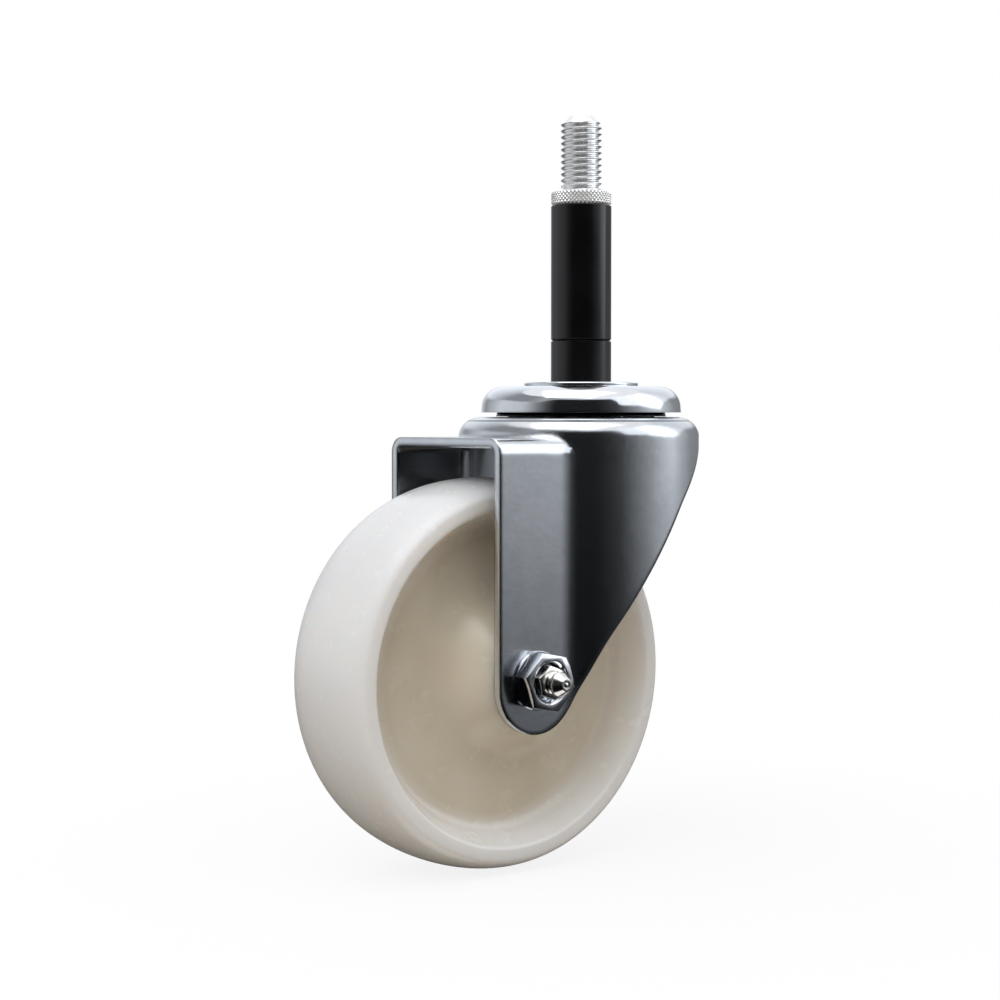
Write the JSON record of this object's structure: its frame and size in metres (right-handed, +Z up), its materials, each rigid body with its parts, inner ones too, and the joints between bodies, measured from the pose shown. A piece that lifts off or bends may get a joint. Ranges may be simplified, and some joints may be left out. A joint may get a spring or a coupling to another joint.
{
  "type": "swivel caster",
  "caption": "Swivel caster with an expanding rubber stem, a pressed fork, a ball-race swivel head and a white moulded wheel on a greased axle.",
  "frame": {"origin": "swivel axis, on the shoulder that the end of the tube rests on (top face of the kingpin's flange)", "axes": "+Z up the stem, the axle along Y with its nut and grease nipple towards -Y, the wheel trailing towards -X"},
  "size_m": [0.1164, 0.0679, 0.1979],
  "materials": {
    "bright_zinc": "bright zinc plate",
    "zinc_sheet": "satin zinc plate on pressed steel",
    "bare_steel": "plain steel",
    "ball_steel": "polished hardened steel",
    "nickel": "bright nickel",
    "black_rubber": "smooth matt rubber",
    "black_plastic": "satin black",
    "white_nylon": "milky moulded nylon, soft gloss"
  },
  "bodies": {
    "head": {"top_cap": "bright_zinc", "kingpin": "bright_zinc", "race_spacer": "bare_steel", "lower_race_cup": "bright_zinc", "race_seal": "black_plastic", "stem_spacer": "black_plastic", "expander_sleeve": "black_rubber"},
    "bolt": {"expander_bolt": "bright_zinc", "bolt_washer": "bright_zinc"},
    "draw_nut": {"knurled_nut": "bright_zinc"},
    "upper_ball_ring": {"upper_balls": "ball_steel"},
    "lower_ball_ring": {"lower_balls": "ball_steel"},
    "swivel_fork": {"fork": "zinc_sheet", "axle_bushing": "bare_steel", "axle_bolt": "bright_zinc", "axle_washer_near": "bright_zinc", "axle_washer_far": "bright_zinc", "axle_nut": "bright_zinc", "grease_nipple": "nickel", "check_ball": "ball_steel", "thrust_washer_near": "bare_steel", "thrust_washer_far": "bare_steel"},
    "wheel_body": {"wheel": "white_nylon"},
    "roller_set": {"roller_cage": "bare_steel", "rollers": "ball_steel"}
  },
  "joints": [
    {"name": "swivel", "type": "hinge", "parent": "head", "child": "swivel_fork", "pos_m": [0, 0, 0], "axis": [0, 0, 1], "continuous": true},
    {"name": "wheel_spin", "type": "hinge", "parent": "swivel_fork", "child": "wheel_body", "pos_m": [-0.034, 0, -0.0758], "axis": [0, 1, 0], "continuous": true},
    {"name": "upper_ball_orbit", "type": "hinge", "parent": "head", "child": "upper_ball_ring", "pos_m": [0, 0, 0], "axis": [0, 0, 1], "continuous": true},
    {"name": "lower_ball_orbit", "type": "hinge", "parent": "head", "child": "lower_ball_ring", "pos_m": [0, 0, 0], "axis": [0, 0, 1], "continuous": true},
    {"name": "roller_orbit", "type": "hinge", "parent": "swivel_fork", "child": "roller_set", "pos_m": [-0.034, 0, -0.0758], "axis": [0, 1, 0], "continuous": true},
    {"name": "bolt_turn", "type": "hinge", "parent": "head", "child": "bolt", "pos_m": [0, 0, 0], "axis": [0, 0, 1], "range_deg": [0, 720]},
    {"name": "nut_draw", "type": "slide", "parent": "head", "child": "draw_nut", "axis": [0, 0, -1], "range_m": [0, 0.00363], "deforming": ["expander_sleeve"]}
  ],
  "couplings": [
    {"joint": "upper_ball_orbit", "follows": "swivel", "ratio": 0.5},
    {"joint": "lower_ball_orbit", "follows": "swivel", "ratio": 0.5},
    {"joint": "roller_orbit", "follows": "wheel_spin", "ratio": 0.5825},
    {"joint": "nut_draw", "follows": "bolt_turn", "m_per_rad": 0.00028875}
  ]
}
